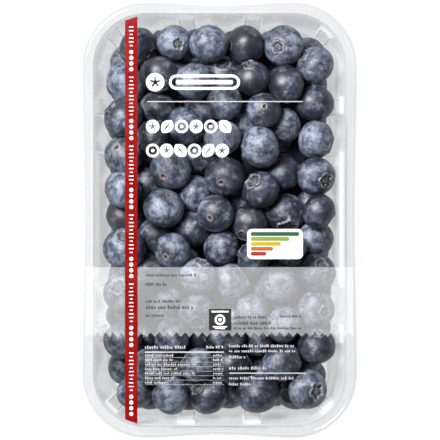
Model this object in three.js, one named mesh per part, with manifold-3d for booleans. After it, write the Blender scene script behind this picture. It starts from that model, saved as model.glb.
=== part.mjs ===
// A sealed 500 g punnet of blueberries: a clear thermoformed tray, the heap of berries that
// fills it, and a clear printed film that is heat-sealed to the tray's rim.
// Millimetres, +Z up. X runs across the pack and Y along it, with the top of the print at +Y.
// The origin is under the middle of the base.

import * as THREE from "three";
import { mergeVertices } from "three/addons/utils/BufferGeometryUtils.js";
import Module from "manifold-3d";

// Tray
const LENGTH = 190;
const WIDTH = 120;
const HEIGHT = 62;
const WALL = 0.8;
const CORNER = 28; // radius of the rim's outer corners
const RIM = 5.3; // width of the flat sealing rim
const RIM_EDGE = 1.2; // its rounded outer edge
const RIM_ROUNDING = 0.6; // and its inner one
const LIP = 2.4; // the outer edge turns down this far
const SIDE_WAIST = 1.0; // the rim is drawn in halfway along each side and each end
const END_WAIST = 1.5;
const STEP_DEPTH = 2.4; // small step under the rim
const STEP_WIDTH = 0.8;
const DRAFT = 4.5; // the walls lean in by this much from top to bottom
const FOOT_RADIUS = 4;
const FOOT_RING = 10; // flat ring that the tray stands on, from the wall in
const PANEL_LIFT = 1.5; // the middle of the base is raised
const PANEL_SLOPE = 2;

// Ribs pressed into the walls, each with a ledge at its top
const RIB_DEPTH = 1.4;
const RIB_TOP = 5; // the ledges lie this far under the rim
const RIB_LEDGE = 1.3;
const RIB_FLANK = 1.3;
const RIB_HALF = 3.3;
const END_RIBS = [-14.4, 14.4].map((middle) => ({ middle, half: RIB_HALF }));
const SIDE_RIBS = [
  { middle: -50, half: RIB_HALF },
  { middle: 0, half: 29 },
  { middle: 50, half: RIB_HALF },
];

// Berries, as balls while they settle and a little flattened afterwards
const BERRY_COUNT = 210; // 500 g
const SMALLEST_RADIUS = 7;
const LARGEST_RADIUS = 9.3;
const BERRY_GAP = 0.4; // from the tray's walls and base
const HEAP_TOP = 55.5;
const HEAP_DOME = 4; // the heap is this much lower at each wall
const START_LOW = 10; // the berries start between these heights, this far from the walls
const START_HIGH = 48;
const START_MARGIN = 18;
const SETTLING_ROUNDS = 400;
const PUSH = 0.25; // share of an overlap that each round takes off at each berry
const SINK = 0.05; // how far a berry that nothing holds sinks in a round
const SWELL = 1.036; // width of a berry, as a share of its ball's
const FLATNESS = 0.89; // its height, as a share of its width
const SEED = 13;

// The heap as one solid: the berries that show, on a plain core
const CORE_INSET = 8;
const CORE_TOP = 18; // the core's top is this far under the heap's
const FINE_ABOVE = 40; // a berry that lies higher than this has more faces
const TIDY = 0.02; // edges shorter than this are joined up

// Film and print
const FILM = 0.3;
const FILM_EDGE = 0.6; // the film stops this far inside the rim's outer edge
const INK = 0.2;
const INK_GAP = 0.1; // between two colours that meet side by side
const CORNER_SEGMENTS = 3; // per quarter turn
const STRIPE = { left: -41.1, right: -35.7, outerY: 86.8, innerY: 88.6 };
const BAND = { top: -20.5, bottom: -50.9, reach: 58.3, toothWidth: 3.74, toothDepth: 2 };
const RULE = { left: -31.6, right: 36.3, top: 51.9, bottom: 51.2 };
const HEADING = { left: -32, right: 8.9, top: 64, bottom: 56, corner: 3.9 };
const TITLE_ROWS = [
  { left: -32, right: 5.4, top: 43.6, bottom: 37.8 },
  { left: -32, right: 4.1, top: 33.2, bottom: 27.3 },
];
const CARD = { left: 12, right: 36.3, top: -3.9, bottom: -17, corner: 2.2 };
const BADGE = { left: -4.6, right: 5, top: -38.7, bottom: -47.9 };

const wasm = await Module();
wasm.setup();

// Repeatable random numbers from 0 to 1
let randomState = SEED;
function random() {
  randomState = (randomState * 1664525 + 1013904223) % 4294967296;
  return randomState / 4294967296;
}

// Points along one straight run, from -reach to reach: four for each rib, and the run's ends
function runPoints(ribs, reach) {
  const points = [{ s: -reach, rib: 0 }];
  for (const { middle, half } of ribs) {
    points.push({ s: middle - half - RIB_FLANK, rib: 0 });
    points.push({ s: middle - half, rib: 1 });
    points.push({ s: middle + half, rib: 1 });
    points.push({ s: middle + half + RIB_FLANK, rib: 0 });
  }
  points.push({ s: reach, rib: 0 });
  return points;
}

// Points round one corner, as shares of its quarter turn, with a rib in the middle
function cornerPoints() {
  const quarter = (Math.PI / 2) * (CORNER - RIM);
  const crest = RIB_HALF / quarter;
  const foot = (RIB_HALF + RIB_FLANK) / quarter;
  const plain = (0.5 - foot) / 2;
  return [
    { turn: plain, rib: 0 },
    { turn: 0.5 - foot, rib: 0 },
    { turn: 0.5 - crest, rib: 1 },
    { turn: 0.5 + crest, rib: 1 },
    { turn: 0.5 + foot, rib: 0 },
    { turn: 1 - plain, rib: 0 },
  ];
}

// The tray's outline, anticlockwise. Each point has its place on the rectangle between the
// corners' centres, its outward normal, and its shares of a rib and of the rim's waist.
function outlinePoints() {
  const points = [];
  for (let side = 0; side < 4; side++) {
    const isLong = side % 2 === 0;
    const reach = (isLong ? LENGTH : WIDTH) / 2 - CORNER;
    const out = (isLong ? WIDTH : LENGTH) / 2 - CORNER;
    const quarter = (side * Math.PI) / 2;
    const normal = new THREE.Vector2(Math.cos(quarter), Math.sin(quarter));
    const along = new THREE.Vector2(-normal.y, normal.x);
    const place = (s) => normal.clone().multiplyScalar(out).addScaledVector(along, s);
    for (const { s, rib } of runPoints(isLong ? SIDE_RIBS : END_RIBS, reach)) {
      const waist = (isLong ? SIDE_WAIST : END_WAIST) * (1 - (s / reach) ** 2) ** 2;
      points.push({ at: place(s), normal, rib, waist });
    }
    for (const { turn, rib } of cornerPoints()) {
      const angle = quarter + (turn * Math.PI) / 2;
      const outward = new THREE.Vector2(Math.cos(angle), Math.sin(angle));
      points.push({ at: place(reach), normal: outward, rib, waist: 0 });
    }
  }
  return points;
}

const OUTLINE = outlinePoints();

// The outline at height z, drawn in from the rim's outer edge by an inset
function ring({ inset, z, rib = 0, waist = 0 }) {
  return OUTLINE.map((point) => {
    const reach = CORNER - inset - rib * RIB_DEPTH * point.rib - waist * point.waist;
    const { x, y } = point.at.clone().addScaledVector(point.normal, reach);
    return new THREE.Vector3(x, y, z);
  });
}

// One closed body through rings of equally many points, with a fan of faces over each end.
// The rings follow each other up the body's inside and down its outside.
function loft(rings) {
  const count = rings[0].length;
  const middle = (points) =>
    points.reduce((sum, point) => sum.add(point), new THREE.Vector3()).divideScalar(count);
  const vertices = [...rings.flat(), middle(rings[0]), middle(rings.at(-1))];
  const first = vertices.length - 2;
  const last = vertices.length - 1;
  const lastRing = (rings.length - 1) * count;
  const faces = [];
  for (let i = 0; i < count; i++) {
    const next = (i + 1) % count;
    for (let r = 0; r < lastRing; r += count) {
      faces.push(r + i, r + count + i, r + next, r + next, r + count + i, r + count + next);
    }
    faces.push(first, i, next, last, lastRing + next, lastRing + i);
  }
  return new THREE.BufferGeometry().setFromPoints(vertices).setIndex(faces);
}

// The other face of a wall whose inner profile runs outwards and up, with mitred corners
function outerFace(profile) {
  const normals = profile.slice(1).map((point, i) => {
    const run = new THREE.Vector2(profile[i].inset - point.inset, point.z - profile[i].z);
    return new THREE.Vector2(run.y, -run.x).normalize();
  });
  const outer = profile.map((point, i) => {
    const before = normals[Math.max(i - 1, 0)];
    const after = normals[Math.min(i, normals.length - 1)];
    const mitre = before.clone().add(after).normalize();
    mitre.multiplyScalar(WALL / mitre.dot(after));
    return { ...point, inset: point.inset - mitre.x, z: point.z + mitre.y };
  });
  return outer.reverse();
}

const WALL_TOP_Z = HEIGHT - STEP_DEPTH - STEP_WIDTH;
const WALL_TOP_INSET = RIM + STEP_WIDTH;
const WALL_SLOPE = DRAFT / HEIGHT;
const wallInset = (z) => WALL_TOP_INSET + (WALL_TOP_Z - z) * WALL_SLOPE;

function trayGeometry() {
  const footZ = WALL + FOOT_RADIUS;
  const foot = wallInset(footZ);
  const ribTop = HEIGHT - RIB_TOP;
  const ribFull = ribTop - RIB_LEDGE;
  const profile = [
    { inset: foot + FOOT_RING + PANEL_SLOPE, z: WALL + PANEL_LIFT },
    { inset: foot + FOOT_RING, z: WALL },
    { inset: foot + FOOT_RADIUS, z: WALL, rib: 1 },
    { inset: foot + 0.3 * FOOT_RADIUS, z: WALL + 0.3 * FOOT_RADIUS, rib: 1 },
    { inset: foot, z: footZ, rib: 1 },
    { inset: wallInset(ribFull), z: ribFull, rib: 1 },
    { inset: wallInset(ribTop), z: ribTop },
    { inset: WALL_TOP_INSET, z: WALL_TOP_Z },
    { inset: RIM, z: HEIGHT - STEP_DEPTH },
    { inset: RIM - RIM_ROUNDING, z: HEIGHT },
    { inset: RIM_EDGE, z: HEIGHT, waist: 1 },
    { inset: RIM_EDGE / 3, z: HEIGHT - RIM_EDGE / 2, waist: 1 },
    { inset: 0, z: HEIGHT - LIP, waist: 1 },
  ];
  return loft([...profile, ...outerFace(profile)].map(ring));
}

// Moves a berry back inside the tray and under the heap's domed top.
function keepInside({ centre, radius }) {
  const reach = radius + BERRY_GAP;
  const middleX = WIDTH / 2 - CORNER;
  const middleY = LENGTH / 2 - CORNER;
  const dx = Math.max(Math.abs(centre.x) - middleX, 0);
  const dy = Math.max(Math.abs(centre.y) - middleY, 0);
  const out = Math.hypot(dx, dy);
  const room = CORNER - wallInset(centre.z) - RIB_DEPTH - reach;
  if (out > room) {
    const back = 1 - room / out;
    centre.x -= Math.sign(centre.x) * dx * back;
    centre.y -= Math.sign(centre.y) * dy * back;
  }
  const fromMiddle = (centre.x / (WIDTH / 2)) ** 2 + (centre.y / (LENGTH / 2)) ** 2;
  const lowest = WALL + PANEL_LIFT + reach;
  const highest = HEAP_TOP - HEAP_DOME * fromMiddle - radius;
  centre.z = Math.min(Math.max(centre.z, lowest), highest);
}

// One round of settling: berries that overlap push each other apart, and all sink a little.
function settle(berries) {
  const moves = berries.map(() => new THREE.Vector3(0, 0, -SINK));
  for (let i = 0; i < berries.length; i++) {
    for (let j = i + 1; j < berries.length; j++) {
      const between = berries[j].centre.clone().sub(berries[i].centre);
      const distance = between.length();
      const overlap = berries[i].radius + berries[j].radius - distance;
      if (overlap > 0) {
        between.multiplyScalar((PUSH * overlap) / distance);
        moves[i].sub(between);
        moves[j].add(between);
      }
    }
  }
  berries.forEach((berry, i) => {
    berry.centre.add(moves[i]);
    keepInside(berry);
  });
}

// The heap: berries start at random places, evenly along the tray, and settle.
function heapOfBerries() {
  const between = (low, high, share) => low + (high - low) * share;
  const farX = WIDTH / 2 - START_MARGIN;
  const farY = LENGTH / 2 - START_MARGIN;
  const berries = [];
  for (let n = 0; n < BERRY_COUNT; n++) {
    const radius = between(SMALLEST_RADIUS, LARGEST_RADIUS, (random() + random()) / 2);
    const x = between(-farX, farX, random());
    const y = between(-farY, farY, (n + random()) / BERRY_COUNT);
    const z = between(START_LOW, START_HIGH, random());
    berries.push({ radius, centre: new THREE.Vector3(x, y, z) });
  }
  for (let round = 0; round < SETTLING_ROUNDS; round++) settle(berries);
  return berries;
}

function randomDirection() {
  const turn = 2 * Math.PI * random();
  const z = 2 * random() - 1;
  const level = Math.sqrt(1 - z * z);
  return new THREE.Vector3(level * Math.cos(turn), level * Math.sin(turn), z);
}

// A slightly flattened ball with its crown any way round
function berryGeometry({ centre, radius }) {
  const wide = radius * SWELL;
  const ball =
    centre.z > FINE_ABOVE
      ? new THREE.IcosahedronGeometry(wide, 1)
      : new THREE.DodecahedronGeometry(wide);
  const up = new THREE.Vector3(0, 0, 1);
  return ball
    .scale(1, 1, FLATNESS)
    .applyQuaternion(new THREE.Quaternion().setFromUnitVectors(up, randomDirection()))
    .translate(centre.x, centre.y, centre.z);
}

// A flat piece: a shape in the XY plane, raised from z by its thickness
function slab(shape, z, thickness) {
  const settings = { depth: thickness, bevelEnabled: false, curveSegments: CORNER_SEGMENTS };
  return new THREE.ExtrudeGeometry(shape, settings).translate(0, 0, z);
}

function rectangle({ left, right, top, bottom, corner = 0 }) {
  const shape = new THREE.Shape();
  if (corner === 0) {
    return shape.moveTo(left, bottom).lineTo(right, bottom).lineTo(right, top).lineTo(left, top);
  }
  const quarter = Math.PI / 2;
  return shape
    .absarc(right - corner, top - corner, corner, 0, quarter)
    .absarc(left + corner, top - corner, corner, quarter, 2 * quarter)
    .absarc(left + corner, bottom + corner, corner, 2 * quarter, 3 * quarter)
    .absarc(right - corner, bottom + corner, corner, 3 * quarter, 4 * quarter);
}

function coreGeometry() {
  const bottom = WALL + PANEL_LIFT + CORE_INSET;
  const inset = wallInset(bottom) + RIB_DEPTH + CORE_INSET;
  const right = WIDTH / 2 - inset;
  const top = LENGTH / 2 - inset;
  const outline = { left: -right, right, top, bottom: -top, corner: CORNER - inset };
  return slab(rectangle(outline), bottom, HEAP_TOP - CORE_TOP - bottom);
}

function toSolid(geometry) {
  const bare = geometry.clone();
  bare.deleteAttribute("normal");
  bare.deleteAttribute("uv");
  const merged = mergeVertices(bare, 1e-4);
  return new wasm.Manifold(
    new wasm.Mesh({
      numProp: 3,
      vertProperties: merged.attributes.position.array,
      triVerts: new Uint32Array(merged.index.array),
    }),
  );
}

function toGeometry(solid) {
  const { vertProperties, triVerts } = solid.getMesh();
  return new THREE.BufferGeometry()
    .setAttribute("position", new THREE.BufferAttribute(new Float32Array(vertProperties), 3))
    .setIndex(new THREE.BufferAttribute(new Uint32Array(triVerts), 1));
}

// The berries fused with the core. A hollow that fusing seals, or a loose scrap, is left off.
function heapGeometry() {
  const berries = heapOfBerries().map((berry) => toSolid(berryGeometry(berry)));
  const fused = wasm.Manifold.union([toSolid(coreGeometry()), ...berries]);
  const [heap] = fused.decompose().sort((a, b) => b.volume() - a.volume());
  return toGeometry(heap.simplify(TIDY));
}

function filmGeometry() {
  const edge = { inset: FILM_EDGE, waist: 1 };
  return loft([ring({ ...edge, z: HEIGHT + FILM }), ring({ ...edge, z: HEIGHT })]);
}

// The stripe runs from rim to rim, its ends cut along the rim's inner curve.
function stripeShape() {
  const { left, right, outerY, innerY } = STRIPE;
  return new THREE.Shape()
    .moveTo(left, -outerY)
    .lineTo(right, -innerY)
    .lineTo(right, innerY)
    .lineTo(left, outerY);
}

// One stretch of the frosted band, with its zigzag lower edge
function bandShape(left, right) {
  const shape = new THREE.Shape().moveTo(right, BAND.top).lineTo(left, BAND.top);
  const teeth = Math.round((right - left) / BAND.toothWidth);
  const width = (right - left) / teeth;
  for (let n = 0; n < teeth; n++) {
    shape.lineTo(left + n * width, BAND.bottom);
    shape.lineTo(left + (n + 0.5) * width, BAND.bottom + BAND.toothDepth);
  }
  return shape.lineTo(right, BAND.bottom);
}

function material(color, roughness, opacity = 1) {
  const settings = { color, roughness, metalness: 0, opacity, transparent: opacity < 1 };
  return new THREE.MeshStandardMaterial(settings);
}

const clear = material(0xeef1f2, 0.12, 0.3);
const fruit = material(0x3a4560, 0.6);
const redInk = material(0xb3161b, 0.45);
const frostedInk = material(0xdcdde0, 0.6, 0.65);
const whiteInk = material(0xfafafa, 0.5);
const blackInk = material(0x161616, 0.5);

function addMesh(group, name, geometry, look) {
  geometry.computeVertexNormals();
  const mesh = new THREE.Mesh(geometry, look);
  mesh.name = name;
  group.add(mesh);
}

const punnet = new THREE.Group();
addMesh(punnet, "tray", trayGeometry(), clear);
addMesh(punnet, "berries", heapGeometry(), fruit);
addMesh(punnet, "film", filmGeometry(), clear);

const print = new THREE.Group();
print.position.z = HEIGHT + FILM;
const addInk = (name, shape, look, z = 0) => addMesh(print, name, slab(shape, z, INK), look);
addInk("print_stripe", stripeShape(), redInk);
addInk("print_band_left", bandShape(-BAND.reach, STRIPE.left - INK_GAP), frostedInk);
addInk("print_band_right", bandShape(STRIPE.right + INK_GAP, BAND.reach), frostedInk);
addInk("print_heading", rectangle(HEADING), whiteInk);
addInk("print_rule", rectangle(RULE), whiteInk);
addInk("print_title_upper", rectangle(TITLE_ROWS[0]), whiteInk);
addInk("print_title_lower", rectangle(TITLE_ROWS[1]), whiteInk);
addInk("print_card", rectangle(CARD), whiteInk);
addInk("print_badge", rectangle(BADGE), blackInk, INK);
punnet.add(print);

export default punnet;
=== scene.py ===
import math

import bpy
import numpy as np
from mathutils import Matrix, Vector


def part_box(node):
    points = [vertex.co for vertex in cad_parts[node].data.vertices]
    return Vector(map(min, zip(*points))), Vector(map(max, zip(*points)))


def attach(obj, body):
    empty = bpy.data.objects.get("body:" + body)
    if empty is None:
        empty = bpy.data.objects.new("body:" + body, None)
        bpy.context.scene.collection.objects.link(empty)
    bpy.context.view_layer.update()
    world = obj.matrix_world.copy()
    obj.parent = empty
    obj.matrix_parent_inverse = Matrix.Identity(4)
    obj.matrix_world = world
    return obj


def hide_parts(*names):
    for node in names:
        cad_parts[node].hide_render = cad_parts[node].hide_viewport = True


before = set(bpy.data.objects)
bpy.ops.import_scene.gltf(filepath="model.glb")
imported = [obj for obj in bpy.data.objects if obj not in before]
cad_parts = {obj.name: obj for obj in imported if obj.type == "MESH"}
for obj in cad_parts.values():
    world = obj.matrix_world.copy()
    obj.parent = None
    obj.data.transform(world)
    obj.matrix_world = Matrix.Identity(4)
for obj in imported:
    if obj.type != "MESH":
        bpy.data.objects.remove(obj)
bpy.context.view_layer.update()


# The tray is one sheet of clear PET, drawn down hot into a mould: a flat sealing rim whose outer
# edge turns down, a small step under it, and leaning walls stiffened by pressed-in ribs that each
# end in a small ledge. It stands on a flat ring round a raised panel.

MM = 0.001  # sizes are in millimetres, and mesh_piece turns them into metres

tray_low, tray_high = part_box("tray")
TRAY_WIDTH = (tray_high.x - tray_low.x) / MM
TRAY_LENGTH = (tray_high.y - tray_low.y) / MM
TRAY_HEIGHT = tray_high.z / MM
TRAY_WALL = 0.8
CORNER = 28  # radius of the rim's outer corners
RIM = 5.9  # width of the flat rim that the film is sealed to
RIM_EDGE = 1.2
RIM_ROUNDING = 0.6
LIP = 2.4
SIDE_WAIST = 1.0  # the rim is drawn in halfway along each side and each end
END_WAIST = 1.5
STEP_DEPTH = 2.4
STEP_FALL = 0.8
STEP_WIDTH = 0.2
WALL_TOP_Z = TRAY_HEIGHT - STEP_DEPTH - STEP_FALL
WALL_TOP_INSET = RIM + STEP_WIDTH
WALL_DRAFT = 4.5  # how far a wall leans in over the tray's height
WALL_SLOPE = WALL_DRAFT / TRAY_HEIGHT
FOOT_RADIUS = 4
FOOT_RING = 10
PANEL_LIFT = 1.5
PANEL_SLOPE = 2
PANEL_EDGE = 2
RIB_DEPTH = 1.4
RIB_TOP = 5
RIB_LEDGE = 1.3
RIB_FLANK = 1.3
RIB_HALF = 3.3
SIDE_RIBS = [(-50, RIB_HALF), (0, 29), (50, RIB_HALF)]  # middle and half width
END_RIBS = [(-14.4, RIB_HALF), (14.4, RIB_HALF)]
OUTLINE_STEP = 3
FLANK_STEPS = 8
CORNER_STEPS = 30
FILLET_STEPS = 6
SHEET_TINT = (0.921, 0.927, 0.930, 1)  # the light that passes one face, seen straight on
EDGE_ON_TINT = (0.966, 0.970, 0.973, 1)
# painted shade: the sheet's folds are darkened towards this, for the dark line a bent clear sheet
# refracts
FOLD_SHADE_TINT = (0.40, 0.42, 0.43, 1)
SHEET_GLOSS = (0.93, 0.94, 0.945, 1)


def ease(share):
    """A soft step from 0 to 1 as share goes from 0 to 1."""
    share = np.clip(share, 0, 1)
    return share * share * (3 - 2 * share)


def wall_inset(z):
    """How far the plain wall stands in from the rim's outer edge at a height."""
    return WALL_TOP_INSET + (WALL_TOP_Z - z) * WALL_SLOPE


def rib_share(along, ribs, flank):
    """How far the ribs stand out at places along a wall, from 0 to 1."""
    share = np.zeros_like(along)
    for middle, half in ribs:
        share = np.maximum(share, ease((half + flank - abs(along - middle)) / flank))
    return share


def sample_run(low, high, step, ribs, flank):
    """Places from low to high, close together on the flanks of the ribs."""
    places = [np.linspace(low, high, 1 + round((high - low) / step))]
    for middle, half in ribs:
        for start in (middle - half - flank, middle + half):
            places.append(np.linspace(start, start + flank, FLANK_STEPS))
    return np.unique(np.concatenate(places).round(4))


def tray_outline():
    """The outline, anticlockwise: places on the rectangle between the corners' centres, outward
    normals, and the shares of a rib and of the rim's waist."""
    places, normals, ribs, waists = [], [], [], []
    quarter = (CORNER - RIM) * math.pi / 2
    corner_rib = [(0.5, RIB_HALF / quarter)]
    for side in range(4):
        is_long = side % 2 == 0
        reach = (TRAY_LENGTH if is_long else TRAY_WIDTH) / 2 - CORNER
        out = (TRAY_WIDTH if is_long else TRAY_LENGTH) / 2 - CORNER
        waist = SIDE_WAIST if is_long else END_WAIST
        wall_ribs = SIDE_RIBS if is_long else END_RIBS
        turn = side * math.pi / 2
        normal = np.array([math.cos(turn), math.sin(turn)])
        along = np.array([-normal[1], normal[0]])
        run = sample_run(-reach, reach, OUTLINE_STEP, wall_ribs, RIB_FLANK)
        places.append(normal * out + run[:, None] * along)
        normals.append(np.tile(normal, (len(run), 1)))
        ribs.append(rib_share(run, wall_ribs, RIB_FLANK))
        waists.append(waist * (1 - (run / reach) ** 2) ** 2)
        bend = sample_run(0, 1, 1 / CORNER_STEPS, corner_rib, RIB_FLANK / quarter)[1:-1]
        angles = turn + bend * math.pi / 2
        places.append(np.tile(normal * out + reach * along, (len(bend), 1)))
        normals.append(np.stack([np.cos(angles), np.sin(angles)], axis=1))
        ribs.append(rib_share(bend, corner_rib, RIB_FLANK / quarter))
        waists.append(np.zeros(len(bend)))
    return [np.concatenate(part) for part in (places, normals, ribs, waists)]


def outline_ring(inset, z, rib=0, waist=0):
    """The outline at a height, drawn in from the rim's outer edge."""
    places, normals, rib_shares, waists = OUTLINE
    reach = CORNER - inset - rib * RIB_DEPTH * rib_shares - waist * waists
    level = places + normals * reach[:, None]
    return np.column_stack([level, np.full(len(level), z)])


def fillet(stations):
    """A profile with each corner rounded. A station is inset, z, rib, waist and its rounding, and
    a point of the profile is inset, z, rib, waist and how sharply the sheet bends there."""
    rows = [np.array(station, float) for station in stations]
    points = [np.append(rows[0][:4], 0)]
    for before, corner, after in zip(rows, rows[1:], rows[2:]):
        back = before[:4] - corner[:4]
        ahead = after[:4] - corner[:4]
        back_length = np.hypot(*back[:2])
        ahead_length = np.hypot(*ahead[:2])
        bend = 1 + back[:2] @ ahead[:2] / (back_length * ahead_length)
        start = corner[:4] + back * min(corner[4] / back_length, 0.5)
        end = corner[:4] + ahead * min(corner[4] / ahead_length, 0.5)
        for t in np.linspace(0, 1, FILLET_STEPS):
            point = (1 - t) ** 2 * start + 2 * t * (1 - t) * corner[:4] + t * t * end
            points.append(np.append(point, 4 * t * (1 - t) * bend))
    points.append(np.append(rows[-1][:4], 0))
    return np.array(points)


def tray_profile():
    """The inner face of the tray, from the raised panel out and up to the rim's lip."""
    foot_z = TRAY_WALL + FOOT_RADIUS
    foot = wall_inset(foot_z)
    rib_top = TRAY_HEIGHT - RIB_TOP
    rib_full = rib_top - RIB_LEDGE
    panel_z = TRAY_WALL + PANEL_LIFT
    panel = foot + FOOT_RING + PANEL_SLOPE
    return fillet([
        (panel + PANEL_EDGE, panel_z, 0, 0, 0),
        (panel, panel_z, 0, 0, 1.2),
        (foot + FOOT_RING, TRAY_WALL, 0, 0, 1.2),
        (foot + FOOT_RADIUS, TRAY_WALL, 1, 0, 0.1),
        (foot, TRAY_WALL, 1, 0, FOOT_RADIUS),
        (wall_inset(rib_full), rib_full, 1, 0, 0.6),
        (wall_inset(rib_top), rib_top, 0, 0, 0.5),
        (WALL_TOP_INSET, WALL_TOP_Z, 0, 0, 0.45),
        (RIM, TRAY_HEIGHT - STEP_DEPTH, 0, 0, 0.5),
        (RIM - RIM_ROUNDING / 2, TRAY_HEIGHT, 0, 0, 0.55),
        (RIM_EDGE / 6, TRAY_HEIGHT, 0, 1, RIM_EDGE),
        (0, TRAY_HEIGHT - LIP, 0, 1, 0),
    ])


def thicken(skin, wall):
    """The other face of a sheet whose points are rows of rings: moved outwards by the wall."""
    along = np.roll(skin, -1, axis=1) - np.roll(skin, 1, axis=1)
    up = np.gradient(skin, axis=0)
    normals = np.cross(along, up)
    return skin + wall * normals / np.linalg.norm(normals, axis=2, keepdims=True)


def shell_faces(rows, count):
    """Faces of a closed shell: an inner and an outer skin of rows of rings, and its ends."""
    def at(skin, row, i):
        return (skin * rows + row) * count + i % count

    faces = []
    for row in range(rows - 1):
        for i in range(count):
            inner = [at(0, row, i), at(0, row + 1, i), at(0, row + 1, i + 1), at(0, row, i + 1)]
            outer = [at(1, row, i), at(1, row, i + 1), at(1, row + 1, i + 1), at(1, row + 1, i)]
            faces += [inner, outer]
    last = rows - 1
    for i in range(count):
        faces.append([at(0, last, i + 1), at(0, last, i), at(1, last, i), at(1, last, i + 1)])
    faces.append([at(0, 0, i) for i in range(count)])
    faces.append([at(1, 0, i) for i in reversed(range(count))])
    return faces


def mesh_piece(name, points, faces, material, smooth=True):
    """A piece that rides on the pack, from points in millimetres."""
    mesh = bpy.data.meshes.new(name)
    mesh.from_pydata((np.asarray(points) * MM).tolist(), [], faces)
    if smooth:
        mesh.shade_smooth()
    mesh.materials.append(material)
    piece = bpy.data.objects.new(name, mesh)
    bpy.context.scene.collection.objects.link(piece)
    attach(piece, "root")
    return piece


def add_attribute(mesh, name, kind, values):
    """Values at the mesh's points, for its material."""
    attribute = mesh.attributes.new(name, kind, "POINT")
    key = "vector" if kind == "FLOAT_VECTOR" else "color"
    attribute.data.foreach_set(key, np.asarray(values, np.float32).ravel())


def blank_material(name):
    """A new material and its empty node tree."""
    material = bpy.data.materials.new(name)
    material.use_nodes = True
    material.node_tree.nodes.clear()
    return material, material.node_tree


def add_node(tree, kind, inputs=None, **settings):
    """A node with its settings, and with each input either linked or set."""
    node = tree.nodes.new(kind)
    for key, value in settings.items():
        setattr(node, key, value)
    for key, value in (inputs or {}).items():
        if isinstance(value, bpy.types.NodeSocket):
            tree.links.new(value, node.inputs[key])
        else:
            node.inputs[key].default_value = value
    return node


def map_range(tree, value, low, high, start=0.0, end=1.0):
    """A value's soft rise from start to end as it goes from low to high."""
    inputs = {"Value": value, "From Min": low, "From Max": high, "To Min": start, "To Max": end}
    node = add_node(tree, "ShaderNodeMapRange", inputs, interpolation_type="SMOOTHSTEP")
    return node.outputs["Result"]


def mix_colour(tree, share, first, second):
    """Two colours mixed by a share."""
    node = tree.nodes.new("ShaderNodeMix")
    node.data_type = "RGBA"
    for socket, value in ((node.inputs[0], share), (node.inputs[6], first), (node.inputs[7], second)):
        if isinstance(value, bpy.types.NodeSocket):
            tree.links.new(value, socket)
        else:
            socket.default_value = value
    return node.outputs[2]


def add_noise(tree, place, scale, detail=3.0, roughness=0.55):
    """Cloudy noise at a place."""
    inputs = {"Vector": place, "Scale": scale, "Detail": detail, "Roughness": roughness}
    return add_node(tree, "ShaderNodeTexNoise", inputs).outputs["Fac"]


def object_place(tree):
    """The place on the object, in metres."""
    return add_node(tree, "ShaderNodeTexCoord").outputs["Object"]


def read_marks(tree, name):
    """The four values that a mesh holds at its points under a name."""
    node = add_node(tree, "ShaderNodeAttribute", attribute_name=name)
    first_three = add_node(tree, "ShaderNodeSeparateColor", {"Color": node.outputs["Color"]}).outputs
    return [*first_three, node.outputs["Alpha"]]


def finish_material(tree, shader):
    """The shader becomes the material's surface."""
    add_node(tree, "ShaderNodeOutputMaterial", {"Surface": shader})


def do_math(tree, operation, first, second, clamp=False):
    """A sum, difference, product or power of two values."""
    inputs = {0: first, 1: second}
    return add_node(tree, "ShaderNodeMath", inputs, operation=operation, use_clamp=clamp).outputs[0]


def glancing(tree):
    """How edge on a face is seen: 0 straight on, 1 edge on, the same from both of its sides."""
    return add_node(tree, "ShaderNodeLayerWeight", {"Blend": 0.5}).outputs["Facing"]


def clear_pet():
    """Clear sheet: whiter and less clear where it is seen edge on, with painted shade along its
    folds for the dark line that a bent sheet refracts, and whitened on the ledges of the ribs,
    partly where it was drawn thin and partly as a painted highlight."""
    material, tree = blank_material("clear_pet")
    place = object_place(tree)
    edge_on = glancing(tree)
    depth = map_range(tree, edge_on, 0.35, 1.0)
    tint = mix_colour(tree, depth, SHEET_TINT, EDGE_ON_TINT)
    fold_shade, ledge_white_and_glint, _, _ = read_marks(tree, "sheet_marks")
    # painted shade along the folds, where a bent sheet refracts a dark line
    tint = mix_colour(tree, do_math(tree, "MULTIPLY", fold_shade, 0.30), tint, FOLD_SHADE_TINT)
    through = add_node(tree, "ShaderNodeBsdfTransparent", {"Color": tint}).outputs[0]
    flow = add_noise(tree, place, 60.0)
    gloss = add_node(
        tree,
        "ShaderNodeBsdfPrincipled",
        {
            "Base Color": SHEET_GLOSS,
            "Roughness": map_range(tree, flow, 0.3, 0.7, 0.06, 0.16),
            "IOR": 1.57,
        },
    ).outputs[0]
    haze = map_range(tree, flow, 0.2, 0.8, 0.012, 0.030)
    mirror = do_math(tree, "MULTIPLY", do_math(tree, "POWER", edge_on, 3.2), 0.48)
    share = do_math(tree, "ADD", haze, mirror)
    # the ledges of the ribs are whitened, partly as the sheet drawn thin there and partly as a
    # painted highlight for the light they reflect
    share = do_math(tree, "ADD", share, do_math(tree, "MULTIPLY", ledge_white_and_glint, 0.34), clamp=True)
    surface = add_node(tree, "ShaderNodeMixShader", {0: share, 1: through, 2: gloss}).outputs[0]
    finish_material(tree, surface)
    return material


OUTLINE = tray_outline()
profile = tray_profile()
inner_skin = np.array([outline_ring(*station[:4]) for station in profile])
outer_skin = thicken(inner_skin, TRAY_WALL)
skins = np.concatenate([inner_skin, outer_skin]).reshape(-1, 3)
tray = mesh_piece("tray_shell", skins, shell_faces(*inner_skin.shape[:2]), clear_pet())
on_ledge = 4 * profile[:, 2] * (1 - profile[:, 2]) * (profile[:, 1] > TRAY_HEIGHT / 2)
# whitening and painted highlight on the ledges of the ribs
ledge_whites_and_glints = on_ledge[:, None] * OUTLINE[2][None]
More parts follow.
